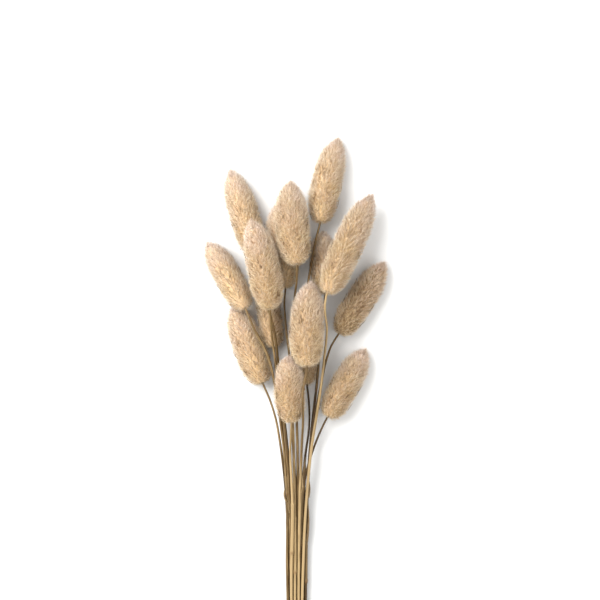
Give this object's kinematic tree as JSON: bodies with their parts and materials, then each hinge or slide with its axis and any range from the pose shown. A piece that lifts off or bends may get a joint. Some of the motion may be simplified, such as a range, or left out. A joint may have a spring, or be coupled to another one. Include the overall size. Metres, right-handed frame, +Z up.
{
  "type": "dried bunny tail grass bunch",
  "caption": "Cut bunch of dried bunny tail grass lying down: soft egg-shaped seed heads on thin straw stems, tied round the waist with plain twine.",
  "frame": {"origin": "on the plane that the bunch lies on, under the middle of its bounding box", "axes": "+Z up from the plane, +Y along the stems towards the seed heads, +X to the right of someone who looks down with the heads pointing away"},
  "size_m": [0.0922, 0.361, 0.0337],
  "materials": {
    "fluff": "soft matte hairs, cream tips over ochre roots",
    "straw": "dry straw, satin along the grain",
    "twine": "matte natural twine"
  },
  "bodies": {
    "root": {"head_01": "fluff", "head_02": "fluff", "head_03": "fluff", "head_04": "fluff", "head_05": "fluff", "head_06": "fluff", "head_07": "fluff", "head_08": "fluff", "head_09": "fluff", "head_10": "fluff", "head_11": "fluff", "head_12": "fluff", "head_13": "fluff", "head_14": "fluff", "head_15": "fluff", "stem_01": "straw", "stem_02": "straw", "stem_03": "straw", "stem_04": "straw", "stem_05": "straw", "stem_06": "straw", "stem_07": "straw", "stem_08": "straw", "stem_09": "straw", "stem_10": "straw", "stem_11": "straw", "stem_12": "straw", "stem_13": "straw", "stem_14": "straw", "stem_15": "straw", "tie": "twine"}
  },
  "joints": []
}
